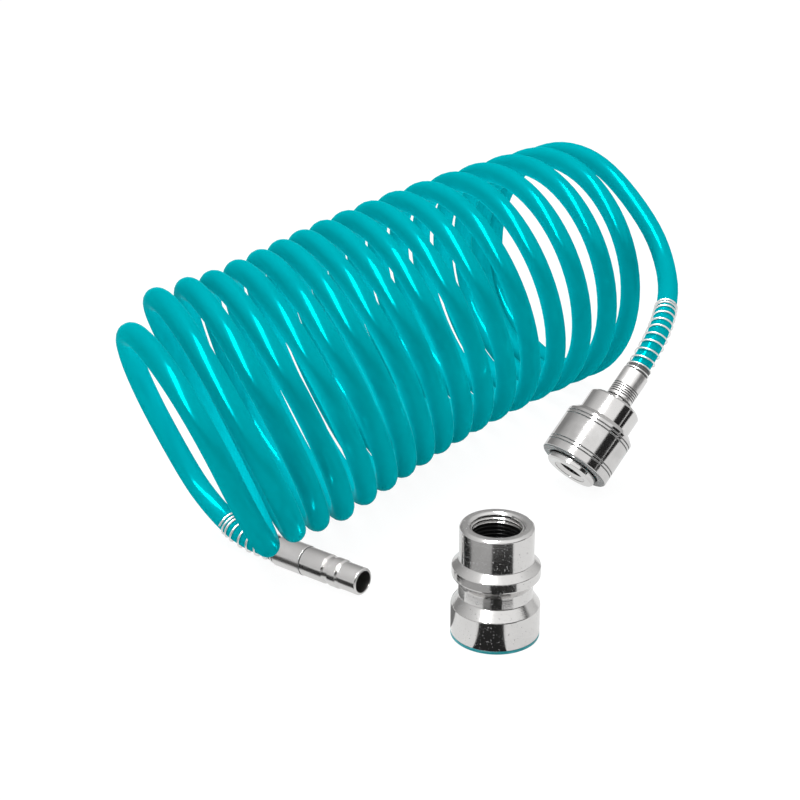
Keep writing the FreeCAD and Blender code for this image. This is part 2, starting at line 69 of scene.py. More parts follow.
class Link:
    """A shader socket. Sums, differences and products of links add Math nodes."""

    def __init__(self, tree, socket=None):
        self.tree = tree
        self.socket = socket

    def make(self, kind, settings=None, inputs=None, output=0):
        """One node of that kind: its settings come first, then its sockets' values or links."""
        node = self.tree.nodes.new(kind)
        for name, value in (settings or {}).items():
            if name == "stops":
                ramp = node.color_ramp.elements
                while len(ramp) < len(value):
                    ramp.new(0.5)
                for element, (position, colour) in zip(ramp, value):
                    element.position = position
                    element.color = colour
            else:
                setattr(node, name, value)
        for name, value in (inputs or {}).items():
            if isinstance(value, Link):
                self.tree.links.new(value.socket, node.inputs[name])
            else:
                node.inputs[name].default_value = value
        return Link(self.tree, node.outputs[output]) if node.outputs else None

    def math(self, operation, *values):
        return self.make("ShaderNodeMath", {"operation": operation}, dict(enumerate(values)))

    def __add__(self, other):
        return self.math("ADD", self, other)

    def __radd__(self, other):
        return self.math("ADD", other, self)

    def __sub__(self, other):
        return self.math("SUBTRACT", self, other)

    def __rsub__(self, other):
        return self.math("SUBTRACT", other, self)

    def __mul__(self, other):
        return self.math("MULTIPLY", self, other)

    def __rmul__(self, other):
        return self.math("MULTIPLY", other, self)

    def clamped(self):
        return self.math("MINIMUM", self.math("MAXIMUM", self, 0.0), 1.0)

    def mixed(self, first, second):
        """Colour from first to second as this link goes from 0 to 1. The Mix
        node's colour sockets are its 7th and 8th, and its 3rd output."""
        return self.make("ShaderNodeMix", {"data_type": "RGBA"}, {0: self, 6: first, 7: second}, 2)


def new_material(name):
    """An empty node material: returns it and a link maker for its nodes."""
    material = bpy.data.materials.new(name)
    material.use_nodes = True
    material.node_tree.nodes.clear()
    return material, Link(material.node_tree)


def surface(maker, sockets):
    """Principled shader with those sockets, joined to the material's output."""
    shader = maker.make("ShaderNodeBsdfPrincipled", {}, sockets)
    maker.make("ShaderNodeOutputMaterial", {}, {"Surface": shader})


# The hose is one tube of teal polyurethane, wound warm into turns that keep
# their size. One end goes to the plug, the other to the coupler, and the
# coil opens like a spring when the coupler is pulled away. Places are in mm.
MM = 0.001
hose_radius = 4.0
hose_wall = 1.5
hose_sides = 20
lowest_axis = 3.5
points_per_turn = 16
turns_first = -0.05
turns_last = 17.35
turns_full = 18.0
pitch_controls = (15.7, 19.0, 6.2, 11.4, 25.4, 5.25)
turn_radius = (46.4, 47.1)
ring_yaw = (-30.0, -30.2, -30.8, -25.0, -12.3)
ring_lean = (15.8, 22.9, 22.6, 10.9, -4.9)
sideways_bow = (0.0, -4.0, 25.2, 4.2, 0.0)
loose_turns = 3.4
loose_shift_x = (8.1, 3.3, 4.5, 5.9)
loose_shift_y = (3.6, 2.8, 9.2, -1.9)
loose_shift_z = (5.4, 0.9, -5.8, 3.6)
loose_radius = (-3.0, 2.2, 1.1, -6.1)
loose_yaw = (-0.7, -6.9, 5.4, 0.8)
loose_lean = (4.2, -1.4, -1.1, 6.1)
ride_overs = [
    (0.84, 0.35, (-6.0, -15.9, 13.7)),
    (1.67, 0.28, (-11.2, -13.2, 9.9)),
]
origin = Vector((120.3532, -33.0351, 0.0))
coupler_mouth = Vector((137.0, -70.15, 8.1489))
coupler_axis = Vector((0.734257, -0.147652, 0.66262))
plug_hose_end = Vector((27.0, -32.4, 5.3))
plug_tail = [(27.0, -19.0, 5.3), (27.3, -5.6, 5.3), (28.3, 5.2, 9.0), (29.2, 15.4, 14.9)]
coupler_tail = [(226.4, -57.2, 62.7), (206.0, -70.3, 57.4)]
coil_start_lead = 14.1
coil_end_lead = 24.1
coupler_hose_straight = 59.8
coupler_hose_end = 37.0


def bernstein(values, w):
    """A smooth curve through the first and last value, drawn by those between."""
    degree = len(values) - 1
    return sum(v * math.comb(degree, i) * w**i * (1 - w) ** (degree - i)
               for i, v in enumerate(values))


def coil_point(turn, inside=1.0):
    """Axis of the coil after so many turns. The spline runs inside its points
    by a share of the radius, which inside makes up for."""
    w = turn / turns_full
    share = turns_full / len(pitch_controls)
    advance = [0.0]
    for pitch in pitch_controls:
        advance.append(advance[-1] + pitch * share)
    loose = max(0.0, (loose_turns - turn) / (loose_turns - turns_first))
    shift = [bernstein((0, 0) + s, loose) for s in (loose_shift_x, loose_shift_y, loose_shift_z)]
    radius = bernstein(turn_radius, w) + bernstein((0, 0) + loose_radius, loose)
    yaw = math.radians(bernstein(ring_yaw, w) + bernstein((0, 0) + loose_yaw, loose))
    lean = math.radians(bernstein(ring_lean, w) + bernstein((0, 0) + loose_lean, loose))
    across = radius / inside * math.cos(2 * math.pi * turn)
    up = radius / inside * math.sin(2 * math.pi * turn)
    x = bernstein(advance, w) - math.sin(yaw) * across - math.sin(lean) * math.cos(yaw) * up
    y = bernstein(sideways_bow, w) + math.cos(yaw) * across - math.sin(lean) * math.sin(yaw) * up
    z = lowest_axis + math.cos(lean) * (radius + up)
    point = Vector((x, y, z)) + Vector(shift)
    for middle, reach, lift in ride_overs:
        away = min(1.0, abs(turn - middle) / reach)
        point += Vector(lift) * (1 - away**2) ** 2
    return point


def coil_direction(turn, step=1e-4):
    """The way that the hose runs there."""
    return (coil_point(turn + step) - coil_point(turn - step)).normalized()


inside_share = 0.75 + 0.25 * math.cos(2 * math.pi / points_per_turn)
coil_steps = round((turns_last - turns_first) * points_per_turn)
coil_start = coil_point(turns_first) - coil_direction(turns_first) * coil_start_lead
coil_end = coil_point(turns_last) + coil_direction(turns_last) * coil_end_lead
route = [plug_hose_end] + [Vector(p) for p in plug_tail] + [coil_start]
for i in range(coil_steps + 1):
    turn = turns_first + (turns_last - turns_first) * i / coil_steps
    route.append(coil_point(turn, inside_share))
route += [coil_end] + [Vector(p) for p in coupler_tail]
for depth in (coupler_hose_straight, coupler_hose_end):
    route.append(coupler_mouth + coupler_axis * depth)

hose_curve = bpy.data.curves.new("air_hose_route", "CURVE")
hose_curve.dimensions = "3D"
spline = hose_curve.splines.new("NURBS")
spline.points.add(len(route) - 1)
for point, place in zip(spline.points, route):
    point.co = ((place - origin) * MM).to_4d()
spline.order_u = 3
spline.use_endpoint_u = True
spline.resolution_u = 4
hose_line = bpy.data.objects.new("air_hose_route", hose_curve)
scene.collection.objects.link(hose_line)
line_mesh = bpy.data.meshes.new_from_object(hose_line)
hose_path = [v.co.copy() for v in line_mesh.vertices]
hose_length = sum((b - a).length for a, b in zip(hose_path, hose_path[1:]))

hose_curve.bevel_depth = hose_radius * MM
hose_curve.bevel_resolution = (hose_sides - 4) // 2
bpy.ops.object.select_all(action="DESELECT")
hose_line.select_set(True)
bpy.context.view_layer.objects.active = hose_line
bpy.ops.object.convert(target="MESH")
hose = bpy.context.active_object
hose.name = "air_hose"

# The tube has a ring of points at each point of its line. Each keeps how far
# along the hose it is, for the joint and the draw lines, and where round it.
ring_distance = [0.0]
for a, b in zip(hose_path, hose_path[1:]):
    ring_distance.append(ring_distance[-1] + (b - a).length)
along = hose.data.attributes.new("along", "FLOAT", "POINT")
around = hose.data.attributes.new("around", "FLOAT", "POINT")
for i in range(len(hose.data.vertices)):
    along.data[i].value = ring_distance[i // hose_sides]
    around.data[i].value = 2 * math.pi * (i % hose_sides) / hose_sides
wall = hose.modifiers.new("wall", "SOLIDIFY")
wall.thickness = hose_wall * MM
wall.offset = -1
bpy.ops.object.modifier_apply(modifier=wall.name)
for vertex in hose.data.vertices:
    vertex.co.z = max(vertex.co.z, 0.0)
bpy.ops.object.shade_smooth_by_angle(angle=math.radians(40))

plastic, maker = new_material("teal_polyurethane")
place = maker.make("ShaderNodeTexCoord", {}, {}, "Object")
cloud = maker.make("ShaderNodeTexNoise", {}, {"Vector": place, "Scale": 45.0, "Detail": 3.0})
distance = maker.make("ShaderNodeAttribute", {"attribute_name": "along"}, {}, "Fac")
angle = maker.make("ShaderNodeAttribute", {"attribute_name": "around"}, {}, "Fac")
lengthwise = maker.make("ShaderNodeCombineXYZ", {}, {
    0: maker.math("COSINE", angle), 1: maker.math("SINE", angle), 2: distance * 3.0})
draw_lines = maker.make("ShaderNodeTexNoise", {}, {
    "Vector": lengthwise, "Scale": 9.0, "Detail": 2.0})
tint = cloud.mixed((0.0, 0.31, 0.355, 1), (0.0, 0.365, 0.415, 1))
relief = maker.make("ShaderNodeBump", {}, {
    "Strength": 0.12, "Distance": 0.1 * MM, "Height": draw_lines + cloud * 0.5})
surface(maker, {
    "Base Color": tint,
    "Metallic": 0.18,
    "Roughness": 0.16 + 0.1 * draw_lines,
    "Specular IOR Level": 0.0,
    "Specular Tint": (0.0, 1.0, 1.0, 1),
    "Normal": relief,
})
hose.data.materials.clear()
hose.data.materials.append(plastic)


def settle(share, ease=0.05):
    """How far a ring goes with the coupler: steady along the coil, and eased at
    both of its ends over a share of it."""
    share = min(1.0, max(0.0, share))
    if share > 0.5:
        return 1.0 - settle(1.0 - share, ease)
    if share < ease:
        return share**2 / (2 * ease * (1 - ease))
    return (share - ease / 2) / (1 - ease)


# Both tails stay whole, and only the coil between them, in metres, stretches.
plug_tail_length = 0.0726
coupler_tail_length = 0.117
coil_length = hose_length - coupler_tail_length - plug_tail_length
# A blend goes by place, so its weights are then set by length along the hose.
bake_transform(hose, "hose", "coupler", start=(-0.1, 0, 0), end=(0.1, 0, 0))
blend_weights = hose.data.attributes["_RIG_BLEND"].data
along = hose.data.attributes["along"].data
for i in range(len(hose.data.vertices)):
    blend_weights[i].value = settle((along[i].value - plug_tail_length) / coil_length)
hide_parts("hose_coil", "hose_tail_plug", "hose_tail_coupler")


# The plug is turned from steel bar and nickel plated: a nose, a collar and a
# groove for the coupler's balls, a bore for the air, and a barbed stem that
# the hose is pushed over.
def turned(name, outline, where, edge=0.1, sides=96):
    """A lathe piece: a circle is extruded from corner to corner of its outline,
    (radius, height) in mm, back to the first one, then its edges are broken."""
    radius, height = outline[0]
    bpy.ops.object.select_all(action="DESELECT")
    bpy.ops.mesh.primitive_circle_add(vertices=sides, radius=radius * MM, location=(0, 0, 0))
    piece = bpy.context.active_object
    piece.name = name
    bpy.ops.object.mode_set(mode="EDIT")
    bpy.ops.mesh.select_all(action="SELECT")
    bpy.ops.transform.translate(value=(0, 0, height * MM))
    for next_radius, next_height in outline[1:] + outline[:1]:
        rise = (next_height - height) * MM
        bpy.ops.mesh.extrude_region_move(TRANSFORM_OT_translate={"value": (0, 0, rise)})
        ratio = next_radius / radius
        bpy.ops.transform.resize(value=(ratio, ratio, 1), center_override=(0, 0, next_height * MM))
        radius, height = next_radius, next_height
    bpy.ops.mesh.select_all(action="SELECT")
    bpy.ops.mesh.remove_doubles(threshold=1e-6)
    bpy.ops.mesh.normals_make_consistent(inside=False)
    bpy.ops.object.mode_set(mode="OBJECT")
    broken = piece.modifiers.new("broken_edges", "BEVEL")
    broken.width = edge * MM
    broken.segments = 2
    broken.limit_method = "ANGLE"
    broken.angle_limit = math.radians(25)
    bpy.ops.object.modifier_apply(modifier=broken.name)
    bpy.ops.object.shade_smooth_by_angle(angle=math.radians(50))
    weighted = piece.modifiers.new("flat_faces", "WEIGHTED_NORMAL")
    weighted.keep_sharp = True
    bpy.ops.object.modifier_apply(modifier=weighted.name)
    piece.matrix_world = where
    bpy.ops.object.transform_apply(location=True, rotation=True, scale=True)
    return piece


def facing(place, direction):
    """Where a turned piece goes: its outline starts at place and runs that way."""
    turn = Vector((0, 0, 1)).rotation_difference(direction)
    return Matrix.Translation((place - origin) * MM) @ turn.to_matrix().to_4x4()


def metal(name, where, colour, rough, marks, dark=None, smudges=0.12, dust=0.0):
    """Plated metal with rings left by the lathe round the axis of where, as deep
    as marks says, and thin smudges. Painted shade darkens its bores and grooves:
    inside a radius and below a height in mm the tone goes down to a grey that is
    not metallic, and dark holds the three. More dust gives more specks."""
    material, maker = new_material(name)
    place = maker.make("ShaderNodeTexCoord", {}, {}, "Object")
    local = maker.make("ShaderNodeMapping", {"vector_type": "TEXTURE"}, {
        "Vector": place, "Location": where.to_translation(), "Rotation": where.to_euler()})
    height = maker.make("ShaderNodeSeparateXYZ", {}, {"Vector": local}, "Z")
    lathe = maker.make("ShaderNodeTexNoise", {"noise_dimensions": "1D"}, {
        "W": height * (1 / MM), "Scale": 4.0, "Detail": 3.0})
    smudge = maker.make("ShaderNodeTexNoise", {}, {"Vector": local, "Scale": 160.0, "Detail": 4.0})
    tone = smudge.mixed(tuple(c * (1 - smudges) for c in colour) + (1,), colour + (1,))
    metallic = 1.0
    if dust:
        grain = maker.make("ShaderNodeTexNoise", {}, {
            "Vector": local, "Scale": 1900.0, "Detail": 2.0})
        speck = maker.math("GREATER_THAN", grain, 0.72 - dust)
        tone = speck.mixed(tone, (0.4, 0.4, 0.4, 1))
        metallic = 1.0 - speck
        lathe = lathe + grain * 0.5
    # Painted shade: surfaces inside the radius and below the height get a flat grey, not metallic, that
    # stands in for shadow in bores and grooves.
    if dark:
        inside, below, grey = dark
        flat = maker.make("ShaderNodeVectorMath", {"operation": "MULTIPLY"}, {
            0: local, 1: (1, 1, 0)})
        radius = maker.make("ShaderNodeVectorMath", {"operation": "LENGTH"}, {0: flat}, "Value")
        painted_shade = maker.math("LESS_THAN", radius, inside * MM)
        painted_shade = painted_shade * maker.math("LESS_THAN", height, below * MM)
        tone = painted_shade.mixed(tone, (grey, grey, grey, 1))
        metallic = metallic * (1.0 - painted_shade)
    relief = maker.make("ShaderNodeBump", {}, {
        "Strength": marks, "Distance": 0.03 * MM, "Height": lathe})
    surface(maker, {
        "Base Color": tone,
        "Metallic": metallic,
        "Roughness": rough + 0.1 * smudge + 0.04 * lathe,
        "Specular IOR Level": 0.1,
        "Normal": relief,
    })
    return material


def dress(piece, material, body, node):
    """The piece gets its material, rides on its body and stands for its node."""
    piece.data.materials.clear()
    piece.data.materials.append(material)
    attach(piece, body)
    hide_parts(node)


def barbs(neck_end):
    """Outline of the barbed stem from the neck's end face to its tip."""
    crest, valley, bore = 2.48, 2.13, 1.7
    barb_count, barbs_length, stem_length = 3, 8.0, 9.0
    step = barbs_length / barb_count
    points = []
    for i in range(barb_count):
        root = neck_end + i * step
        points += [(valley, root), (valley, root + step * 0.3)]
        points += [(crest, root + step * 0.35), (crest, root + step * 0.6)]
    return points + [(valley, neck_end + stem_length), (bore, neck_end + stem_length)]


plug_where = facing(Vector((27.0, -59.4, 5.3)), Vector((0, 1, 0)))
plug_nose = [(3.85, 0), (4.4, 0), (4.75, 0.35), (4.75, 7.4), (4.45, 7.4), (4.45, 8.1)]
plug_collar = [(5.1, 8.6), (5.1, 11.8), (4.45, 11.8), (4.45, 14.1)]
plug_barrel = [(5.1, 14.6), (5.1, 24.0), (4.4, 24.0), (4.4, 27.0)]
plug_bore = [(1.7, 19.2), (3.85, 18.0)]
plug_outline = plug_nose + plug_collar + plug_barrel + barbs(27.0) + plug_bore
# Painted shade turns the plug's bore near black.
nickel_plug = metal("plug_nickel", plug_where, (0.76, 0.75, 0.74), 0.16, 0.3,
                    dark=(3.83, 30.0, 0.02))
plug = turned("plug_turned", plug_outline, plug_where, edge=0.07)
dress(plug, nickel_plug, "hose", "plug_pin")

# The nut clamps the hose on the plug's stem. It is plain bright tube with a
# thin spigot at its back, which the wire guard is wound round.
nut_spigot = [(5.3, 12.2), (4.45, 12.2), (4.45, 15.2), (4.1, 15.2), (4.1, 3.0), (4.45, 3.0)]


def nut_outline(front, grooves):
    """Outline of a nut whose front face is there, with a ring cut at each groove."""
    outline = [(4.45, 0), (4.9, 0), (5.3, 0.4)]
    for groove in grooves:
        outline += [(5.3, groove), (5.05, groove), (5.05, groove + 0.45), (5.3, groove + 0.45)]
    return [(radius, front + height) for radius, height in outline + nut_spigot]


# Painted shade darkens the nut's end faces, chamfer, spigot and bore, all inside 5.18 mm.
nickel_nut = metal("nut_nickel", plug_where, (0.84, 0.83, 0.82), 0.24, 0.5,
                   dark=(5.18, 60.0, 0.12))
plug_nut = turned("plug_nut", nut_outline(24.0, []), plug_where, edge=0.07)
dress(plug_nut, nickel_nut, "hose", "plug_hose_nut")


# The guards are bright spring wire, close wound at both ends and open between,
# and they keep the hose from kinking where it leaves its nut.
def wire_material(name, colour, rough):
    """Bright drawn wire, a little darker in fine spots."""
    material, maker = new_material(name)
    place = maker.make("ShaderNodeTexCoord", {}, {}, "Object")
    drawn = maker.make("ShaderNodeTexNoise", {}, {"Vector": place, "Scale": 900.0, "Detail": 2.0})
    tone = drawn.mixed(tuple(c * 0.88 for c in colour) + (1,), colour + (1,))
    surface(maker, {"Base Color": tone, "Metallic": 1.0, "Roughness": rough + 0.1 * drawn})
    return material


def line_frame(distance):
    """Place and direction on the hose's line that far along it, in metres."""
    i = min(max(1, sum(1 for d in ring_distance if d < distance)), len(hose_path) - 1)
    start, end = hose_path[i - 1], hose_path[i]
    share = (distance - ring_distance[i - 1]) / (end - start).length
    return start.lerp(end, share), (end - start).normalized()


def opened_turns(x):
    """Turns' worth of open pitch once the pitch has opened smoothly over one turn."""
    if x <= 0:
        return 0.0
    return x - 0.5 if x >= 1 else x**3 - x**4 / 2


wire_radius = 0.32
wire_start = 0.45
close_pitch = 1.6
open_pitch = 3.8
close_turns_first = 1
close_turns_last = 3
winding_radius_first = 4.8
winding_radius_last = 4.4


def wire_guard(name, seat, way, turns):
    """Wire wound round the hose, from the nut's seat in metres along the line."""
    steps = 24
    places = []
    for i in range(round(turns * steps) + 1):
        turn = i / steps
        opened = opened_turns(turn - close_turns_first)
        opened -= opened_turns(turn - turns + close_turns_last)
        reach = wire_start + close_pitch * turn + (open_pitch - close_pitch) * opened
        place, direction = line_frame(seat + way * reach * MM)
        side = direction.cross(Vector((0, 0, 1))).normalized()
        over = side.cross(direction)
        angle = 2 * math.pi * turn
        radius = winding_radius_first + (winding_radius_last - winding_radius_first) * turn / turns
        places.append(place + (side * math.cos(angle) + over * math.sin(angle)) * radius * MM)
    wire = bpy.data.curves.new(name, "CURVE")
    wire.dimensions = "3D"
    spline = wire.splines.new("NURBS")
    spline.points.add(len(places) - 1)
    for point, place in zip(spline.points, places):
        point.co = place.to_4d()
    spline.order_u = 4
    spline.use_endpoint_u = True
    spline.resolution_u = 2
    wire.bevel_depth = wire_radius * MM
    wire.bevel_resolution = 3
    wire.use_fill_caps = True
    piece = bpy.data.objects.new(name, wire)
    scene.collection.objects.link(piece)
    bpy.ops.object.select_all(action="DESELECT")
    piece.select_set(True)
    bpy.context.view_layer.objects.active = piece
    bpy.ops.object.convert(target="MESH")
    piece = bpy.context.active_object
    bpy.ops.object.shade_smooth_by_angle(angle=math.radians(60))
    return piece


guard_steel = wire_material("guard_wire", (0.95, 0.95, 0.94), 0.3)
plug_guard = wire_guard("plug_wire_guard", 3.8 * MM, 1, 10.5)
dress(plug_guard, guard_steel, "hose", "plug_spring_guard")
coupler_guard = wire_guard("coupler_wire_guard", hose_length - 9.2 * MM, -1, 12.0)
dress(coupler_guard, guard_steel, "coupler", "coupler_spring_guard")


# The coupler's front tube holds the socket and four balls. Its lip is a ring
# of its own, pressed on in front of the sleeve, with a gap behind it, dark from
# its shadow and from painted shade on the sleeve's front face.
def merged_copy(name, node):
    """The CAD node's own shape with its loose triangles joined and shaded round."""
    piece = bpy.data.objects.new(name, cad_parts[node].data.copy())
    scene.collection.objects.link(piece)
    bpy.ops.object.select_all(action="DESELECT")
    piece.select_set(True)
    bpy.context.view_layer.objects.active = piece
    bpy.ops.object.mode_set(mode="EDIT")
    bpy.ops.mesh.select_all(action="SELECT")
    bpy.ops.mesh.remove_doubles(threshold=1e-6)
    bpy.ops.mesh.customdata_custom_splitnormals_clear()
    bpy.ops.object.mode_set(mode="OBJECT")
    bpy.ops.object.shade_smooth_by_angle(angle=math.radians(40))
    return piece


coupler_where = facing(coupler_mouth, coupler_axis)
nickel_coupler = metal("coupler_nickel", coupler_where, (0.78, 0.77, 0.76), 0.04, 0.3)
front_tube = merged_copy("coupler_front_tube", "coupler_front_body")
dress(front_tube, nickel_coupler, "coupler", "coupler_front_body")
lip_outline = [(8.0, 0.3), (6.5, 0.3), (6.5, 0), (9.4, 0), (10.0, 0.6), (10.0, 2.4), (8.0, 2.4)]
lip = turned("coupler_lip", lip_outline, coupler_where, edge=0.1)
dress(lip, nickel_coupler, "coupler", "coupler_front_ring")

# The release sleeve slides back against its spring and frees the balls. Two
# fine grooves near each end give the fingers a hold.
sleeve_outline = [(10.61, 2.8), (13.3, 2.8), (13.8, 3.3)]
for groove in (6.2, 7.5, 18.1, 19.4):
    sleeve_outline += [(13.8, groove), (13.45, groove)]
    sleeve_outline += [(13.45, groove + 0.5), (13.8, groove + 0.5)]
sleeve_outline += [(13.8, 21.0), (12.0, 22.8), (10.65, 22.8), (10.65, 13.8)]
sleeve_outline += [(8.05, 13.8), (8.05, 12.4), (8.4, 12.4), (8.4, 9.5), (9.66, 4.7)]
# Painted shade darkens the sleeve's four grooves, its front face behind the lip and its inside, below 20.5
# mm.
nickel_sleeve = metal("sleeve_nickel", coupler_where, (0.8, 0.79, 0.78), 0.03, 0.25,
                      dark=(13.62, 20.5, 0.2), smudges=0.35)
sleeve = turned("release_sleeve_turned", sleeve_outline, coupler_where, edge=0.08)
dress(sleeve, nickel_sleeve, "sleeve", "release_sleeve")


# Two springs work inside: one pushes the sleeve forward, one the valve.
def inner_spring(name, node, moving, front, back):
    """The wire follows its moving end over its whole length."""
    spring = merged_copy(name, node)
    spring.data.materials.clear()
    spring.data.materials.append(inner_steel)
    start = coupler_where @ Vector((0, 0, front * MM))
    end = coupler_where @ Vector((0, 0, back * MM))
    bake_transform(spring, moving, "coupler", start=start, end=end)
    weights = spring.data.attributes["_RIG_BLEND"].data
    run = end - start
    for vertex in spring.data.vertices:
        share = (vertex.co - start).dot(run) / run.length_squared
        weights[vertex.index].value = min(1.0, max(0.0, share))
    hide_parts(node)
    return spring


inner_steel = wire_material("inner_spring_wire", (0.7, 0.7, 0.7), 0.25)
sleeve_coil = inner_spring("sleeve_return_spring", "sleeve_spring", "sleeve", 13.8, 21.0)
valve_coil = inner_spring("valve_return_spring", "valve_spring", "valve", 19.0, 28.6)

# The rear body is one turned piece: the valve's chamber in front and the
# barbed stem for the hose behind.
rear_outline = [(6.0, 17.8), (6.7, 17.8), (6.7, 23.8), (8.05, 23.8), (8.05, 21.0), (10.6, 21.0)]
rear_outline += [(10.6, 31.1), (9.6, 32.1), (4.4, 32.1), (4.4, 37.0)] + barbs(37.0)
rear_outline += [(1.7, 28.6), (6.0, 28.6)]
rear_body = turned("coupler_rear_turned", rear_outline, coupler_where, edge=0.1)
dress(rear_body, nickel_coupler, "coupler", "coupler_rear_body")

# Its nut is like the plug's, a plated clamp over the hose's end, with five fine
# rings cut near its front.
nut_rings = [1.4 + 0.9 * i for i in range(5)]
coupler_nut = turned("coupler_nut", nut_outline(34.0, nut_rings), coupler_where, edge=0.06)
# Painted shade darkens the nut's five rings, end faces, chamfer, spigot and bore, all inside 5.18 mm.
nickel_coupler_nut = metal("coupler_nut_nickel", coupler_where, (0.84, 0.83, 0.82), 0.24, 0.5,
                           dark=(5.18, 60.0, 0.1))
dress(coupler_nut, nickel_coupler_nut, "coupler", "coupler_hose_nut")


# Small inner parts stay as the CAD has them: steel balls, the ring that stops
# the sleeve, black rubber seals and the brass valve poppet.
def plain_material(name, colour, metallic, rough, grain):
    """A finish with a fine grain in its tone, gloss and surface."""
    material, maker = new_material(name)
    place = maker.make("ShaderNodeTexCoord", {}, {}, "Object")
    noise = maker.make("ShaderNodeTexNoise", {}, {"Vector": place, "Scale": grain, "Detail": 3.0})
    tone = noise.mixed(tuple(c * 0.85 for c in colour) + (1,), colour + (1,))
    relief = maker.make("ShaderNodeBump", {}, {
        "Strength": 0.1, "Distance": 0.02 * MM, "Height": noise})
    surface(maker, {"Base Color": tone, "Metallic": metallic, "Roughness": rough + 0.1 * noise,
                    "Normal": relief})
    return material


small_parts = {
    plain_material("ball_steel", (0.8, 0.8, 0.82), 1.0, 0.06, 500.0):
        ["locking_ball_1", "locking_ball_2", "locking_ball_3", "locking_ball_4"],
    plain_material("stop_ring_steel", (0.6, 0.6, 0.6), 1.0, 0.25, 700.0): ["sleeve_stop_ring"],
    plain_material("black_rubber", (0.03, 0.03, 0.03), 0.0, 0.55, 1500.0):
        ["valve_seat_seal", "coupler_body_seal"],
    plain_material("valve_brass", (0.62, 0.45, 0.2), 1.0, 0.2, 400.0): ["valve_poppet"],
}
for material, nodes in small_parts.items():
    for node in nodes:
        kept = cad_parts[node]
        kept.data.materials.clear()
        kept.data.materials.append(material)

# The loose adapter is turned and plated too: a wide base, a waist, a collar
# and a barrel with a pipe thread cut in its mouth. The thread is one ridge
# wound down the bore.
adapter_foot = Vector((34.6, -107.6, 0)) - origin
adapter_where = Matrix.Translation(adapter_foot * MM)
adapter_outline = [(7.5, 1.0), (14.3, 1.0), (14.3, 11.0), (11.9, 14.5), (11.9, 18.5), (14.2, 21.6)]
adapter_outline += [(14.2, 24.7), (11.9, 26.9), (11.9, 37.8), (11.1, 38.6), (9.13, 38.6)]
adapter_outline += [(8.33, 37.8), (8.33, 23.6), (7.5, 23.6)]
# Painted shade turns the bore and its thread near black below 35.2 mm.
nickel_adapter = metal("adapter_nickel", adapter_where, (0.76, 0.75, 0.74), 0.07, 0.4,
                       dark=(8.5, 35.2, 0.02), dust=0.05)
adapter = turned("adapter_turned", adapter_outline, adapter_where, edge=0.25)
thread_pitch = 1.337
thread_turns = 10
thread_profile = ((8.4, 0.62), (7.62, 0.0), (8.4, -0.62))
thread_start = 24.3
thread_steps = 40
bpy.ops.object.select_all(action="DESELECT")
bpy.ops.mesh.primitive_circle_add(vertices=3, radius=thread_pitch / 2 * MM, location=(0, 0, 0))
thread = bpy.context.active_object
thread.name = "adapter_thread"
for vertex, (radius, height) in zip(thread.data.vertices, thread_profile):
    vertex.co = (radius * MM, 0, height * MM)
winding = thread.modifiers.new("winding", "SCREW")
winding.axis = "Z"
winding.angle = 2 * math.pi * thread_turns
winding.screw_offset = thread_pitch * thread_turns * MM
winding.steps = thread_steps * thread_turns
winding.render_steps = thread_steps * thread_turns
bpy.ops.object.modifier_apply(modifier=winding.name)
bpy.ops.object.mode_set(mode="EDIT")
bpy.ops.mesh.select_all(action="DESELECT")
bpy.ops.mesh.select_mode(type="EDGE")
bpy.ops.mesh.select_non_manifold()
bpy.ops.mesh.edge_face_add()
bpy.ops.mesh.select_all(action="SELECT")
bpy.ops.mesh.normals_make_consistent(inside=False)
bpy.ops.object.mode_set(mode="OBJECT")
thread.matrix_world = adapter_where @ Matrix.Translation((0, 0, thread_start * MM))
bpy.ops.object.transform_apply(location=True, rotation=True, scale=True)
adapter.select_set(True)
bpy.context.view_layer.objects.active = adapter
bpy.ops.object.join()
dress(adapter, nickel_adapter, "adapter", "adapter_body")

# A thin ring of the hose's colour closes the adapter's lower edge.
ring_plastic = plain_material("adapter_ring_plastic", (0.0, 0.3, 0.34), 0.0, 0.3, 300.0)
ring_outline = [(7.5, 0), (14.3, 0), (14.3, 1.0), (7.5, 1.0)]
seal_ring = turned("adapter_ring", ring_outline, adapter_where, edge=0.15)
dress(seal_ring, ring_plastic, "adapter", "adapter_base_seal")

# The studio's floor is white paper that keeps a faint shadow. The metal is
# neutral in the photograph, so its mirror images leave the hose out.
hose.visible_glossy = False
bpy.ops.mesh.primitive_plane_add(size=12)
floor = bpy.context.active_object
floor.name = "studio_floor"
paper, maker = new_material("white_paper")
seen = maker.make("ShaderNodeLightPath", {}, {}, "Is Camera Ray")
mirrored = maker.make("ShaderNodeLightPath", {}, {}, "Is Glossy Ray")
diffuse = maker.make("ShaderNodeBsdfDiffuse", {}, {"Color": (0.9, 0.9, 0.9, 1)})
glow = maker.make("ShaderNodeEmission", {}, {
    "Color": (1, 1, 1, 1), "Strength": 1.06 - 0.21 * mirrored})
shown = maker.make("ShaderNodeMixShader", {}, {
    0: (seen + mirrored).clamped() * 0.88, 1: diffuse, 2: glow})
maker.make("ShaderNodeOutputMaterial", {}, {"Surface": shown})
floor.data.materials.append(paper)

